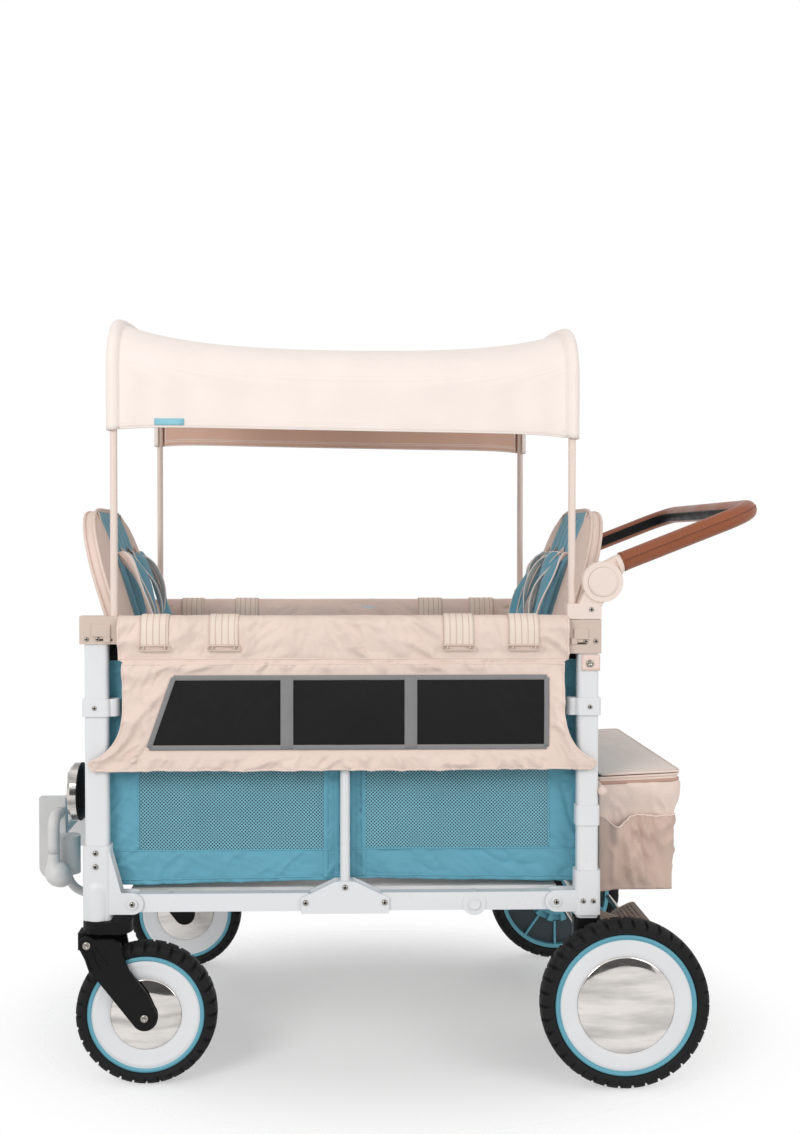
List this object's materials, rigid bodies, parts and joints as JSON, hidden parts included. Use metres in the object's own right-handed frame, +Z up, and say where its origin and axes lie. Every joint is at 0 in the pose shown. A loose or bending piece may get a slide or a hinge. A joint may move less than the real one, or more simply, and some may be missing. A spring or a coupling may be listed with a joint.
{
  "type": "stroller wagon",
  "caption": "Folding stroller wagon with facing padded seats, sliding canopy, leather push bar, pull handle, swivel casters, foot brake and rear basket",
  "frame": {"origin": "on the floor, in the middle of the whole wagon's box", "axes": "+X towards the push handle, -X towards the swivel casters, +Y to the wagon's right, +Z up"},
  "size_m": [1.3345, 0.728, 1.38],
  "materials": {
    "white_frame": "white paint, satin",
    "steel_rod": "satin",
    "white_plastic": "gloss",
    "beige_plastic": "satin",
    "black_plastic": "matte",
    "taupe_plastic": "matte",
    "blue_fabric": "woven",
    "cream_fabric": "woven",
    "beige_fabric": "woven",
    "board": "fabric covered board",
    "chrome": "polished",
    "lens": "clear",
    "leather": "stitched",
    "tyre": "rubber",
    "rim": "gloss"
  },
  "bodies": {
    "front_frame": {"front_legs": "white_frame", "front_corner_brackets": "beige_plastic", "front_feet": "white_plastic", "front_crossbars": "white_frame", "pull_brackets": "white_plastic", "front_seat_hangers": "white_frame", "front_wall": "blue_fabric", "front_side_panels": "blue_fabric", "lamp_bezels": "chrome", "lamp_lenses": "lens", "front_fasteners": "steel_rod"},
    "front_lower_link": {"front_lower_rails": "white_frame", "front_floor_board": "board"},
    "middle": {"middle_posts": "white_frame", "center_brackets": "white_plastic", "side_flaps": "beige_fabric", "middle_fasteners": "steel_rod"},
    "rear_lower_link": {"rear_lower_rails": "white_frame", "rear_floor_board": "board"},
    "front_top_link": {"front_top_rails": "white_frame"},
    "rear_top_link": {"rear_top_rails": "white_frame"},
    "rear_frame": {"rear_legs": "white_frame", "rear_corner_brackets": "beige_plastic", "rear_feet": "white_plastic", "rear_crossbars": "white_frame", "rear_seat_hangers": "white_frame", "rear_wall": "blue_fabric", "rear_side_panels": "blue_fabric", "handle_hubs": "beige_plastic", "axle_housings": "black_plastic", "rear_axle": "steel_rod", "basket": "cream_fabric", "rear_fasteners": "steel_rod"},
    "push_bar": {"push_handle": "white_frame", "handle_grip": "leather"},
    "button_left": {"handle_button_left": "beige_plastic"},
    "button_right": {"handle_button_right": "beige_plastic"},
    "brake": {"brake_shaft": "steel_rod", "brake_pedal": "taupe_plastic"},
    "lid": {"basket_lid": "cream_fabric"},
    "caster_left": {"caster_head_left": "black_plastic"},
    "caster_right": {"caster_head_right": "black_plastic"},
    "fork_left": {"caster_fork_left": "black_plastic"},
    "fork_right": {"caster_fork_right": "black_plastic"},
    "front_wheel_left": {"front_tyre_left": "tyre", "front_rim_left": "rim"},
    "front_wheel_right": {"front_tyre_right": "tyre", "front_rim_right": "rim"},
    "rear_wheel_left": {"rear_tyre_left": "tyre", "rear_rim_left": "rim"},
    "rear_wheel_right": {"rear_tyre_right": "tyre", "rear_rim_right": "rim"},
    "canopy_front": {"front_bow": "white_frame", "canopy": "cream_fabric"},
    "canopy_rear": {"rear_bow": "white_frame"},
    "front_backrest": {"front_seat_back": "blue_fabric"},
    "rear_backrest": {"rear_seat_back": "blue_fabric"},
    "front_pan": {"front_seat": "blue_fabric"},
    "rear_pan": {"rear_seat": "blue_fabric"},
    "pull_bar": {"pull_handle": "white_plastic"}
  },
  "joints": [
    {"name": "fold", "type": "hinge", "parent": "front_frame", "child": "front_lower_link", "pos_m": [-0.46326, 0, 0.321], "axis": [0, -1, 0], "range_deg": [0, 65], "deforming": ["side_flaps", "canopy"]},
    {"name": "fold_middle", "type": "hinge", "parent": "front_lower_link", "child": "middle", "pos_m": [-0.15826, 0, 0.321], "axis": [0, -1, 0], "range_deg": [-65, 0]},
    {"name": "fold_rear_rail", "type": "hinge", "parent": "middle", "child": "rear_lower_link", "pos_m": [-0.01826, 0, 0.321], "axis": [0, -1, 0], "range_deg": [-65, 0]},
    {"name": "fold_rear", "type": "hinge", "parent": "rear_lower_link", "child": "rear_frame", "pos_m": [0.28674, 0, 0.321], "axis": [0, -1, 0], "range_deg": [0, 65]},
    {"name": "fold_front_top", "type": "hinge", "parent": "front_frame", "child": "front_top_link", "pos_m": [-0.46326, 0, 0.8], "axis": [0, -1, 0], "range_deg": [0, 65]},
    {"name": "fold_rear_top", "type": "hinge", "parent": "rear_frame", "child": "rear_top_link", "pos_m": [0.28674, 0, 0.8], "axis": [0, -1, 0], "range_deg": [-65, 0]},
    {"name": "fold_front_seat", "type": "hinge", "parent": "front_frame", "child": "front_pan", "pos_m": [-0.48826, 0, 0.52], "axis": [0, -1, 0], "range_deg": [0, 65]},
    {"name": "fold_rear_seat", "type": "hinge", "parent": "rear_frame", "child": "rear_pan", "pos_m": [0.31174, 0, 0.52], "axis": [0, -1, 0], "range_deg": [-65, 0]},
    {"name": "front_recline", "type": "hinge", "parent": "front_frame", "child": "front_backrest", "pos_m": [-0.45326, 0, 0.655], "axis": [0, 1, 0], "range_deg": [0, 17]},
    {"name": "rear_recline", "type": "hinge", "parent": "rear_frame", "child": "rear_backrest", "pos_m": [0.27674, 0, 0.655], "axis": [0, -1, 0], "range_deg": [0, 17]},
    {"name": "canopy_height", "type": "slide", "parent": "front_frame", "child": "canopy_front", "axis": [0, 0, 1], "range_m": [-0.11, 0.04]},
    {"name": "canopy_height_rear", "type": "slide", "parent": "rear_frame", "child": "canopy_rear", "axis": [0, 0, 1], "range_m": [-0.11, 0.04]},
    {"name": "push_handle_tilt", "type": "hinge", "parent": "rear_frame", "child": "push_bar", "pos_m": [0.36774, 0, 0.889], "axis": [0, -1, 0], "range_deg": [-70, 50]},
    {"name": "button_left_press", "type": "slide", "parent": "rear_frame", "child": "button_left", "axis": [0, 1, 0], "range_m": [0, 0.0025], "stiffness_N_per_m": 800},
    {"name": "button_right_press", "type": "slide", "parent": "rear_frame", "child": "button_right", "axis": [0, -1, 0], "range_m": [0, 0.0025], "stiffness_N_per_m": 800},
    {"name": "brake_pedal_press", "type": "hinge", "parent": "rear_frame", "child": "brake", "pos_m": [0.35574, 0, 0.227], "axis": [0, 1, 0], "range_deg": [0, 20]},
    {"name": "basket_lid_open", "type": "hinge", "parent": "rear_frame", "child": "lid", "pos_m": [0.37984, 0, 0.5343], "axis": [0, -1, 0], "range_deg": [0, 85]},
    {"name": "pull_handle_swing", "type": "hinge", "parent": "front_frame", "child": "pull_bar", "pos_m": [-0.62626, 0, 0.345], "axis": [0, -1, 0], "range_deg": [0, 80]},
    {"name": "caster_swivel_left", "type": "hinge", "parent": "front_frame", "child": "caster_left", "pos_m": [-0.52626, -0.3, 0.281], "axis": [0, 0, 1], "continuous": true},
    {"name": "caster_suspension_left", "type": "hinge", "parent": "caster_left", "child": "fork_left", "pos_m": [-0.54026, -0.3, 0.254], "axis": [0, -1, 0], "range_deg": [0, 8], "stiffness_Nm_per_rad": 60, "springref_deg": -14.32},
    {"name": "front_wheel_spin_left", "type": "hinge", "parent": "fork_left", "child": "front_wheel_left", "pos_m": [-0.44026, -0.3, 0.125], "axis": [0, 1, 0], "continuous": true},
    {"name": "rear_wheel_spin_left", "type": "hinge", "parent": "rear_frame", "child": "rear_wheel_left", "pos_m": [0.40274, -0.341, 0.149], "axis": [0, 1, 0], "continuous": true},
    {"name": "caster_swivel_right", "type": "hinge", "parent": "front_frame", "child": "caster_right", "pos_m": [-0.52626, 0.3, 0.281], "axis": [0, 0, 1], "continuous": true},
    {"name": "caster_suspension_right", "type": "hinge", "parent": "caster_right", "child": "fork_right", "pos_m": [-0.54026, 0.3, 0.254], "axis": [0, -1, 0], "range_deg": [0, 8], "stiffness_Nm_per_rad": 60, "springref_deg": -14.32},
    {"name": "front_wheel_spin_right", "type": "hinge", "parent": "fork_right", "child": "front_wheel_right", "pos_m": [-0.44026, 0.3, 0.125], "axis": [0, 1, 0], "continuous": true},
    {"name": "rear_wheel_spin_right", "type": "hinge", "parent": "rear_frame", "child": "rear_wheel_right", "pos_m": [0.40274, 0.341, 0.149], "axis": [0, 1, 0], "continuous": true}
  ],
  "couplings": [
    {"joint": "fold_middle", "follows": "fold", "ratio": -1},
    {"joint": "fold_rear_rail", "follows": "fold", "ratio": -1},
    {"joint": "fold_rear", "follows": "fold", "ratio": 1},
    {"joint": "fold_front_top", "follows": "fold", "ratio": 1},
    {"joint": "fold_rear_top", "follows": "fold", "ratio": -1},
    {"joint": "fold_front_seat", "follows": "fold", "ratio": 1},
    {"joint": "fold_rear_seat", "follows": "fold", "ratio": -1},
    {"joint": "canopy_height_rear", "follows": "canopy_height", "ratio": 1}
  ]
}
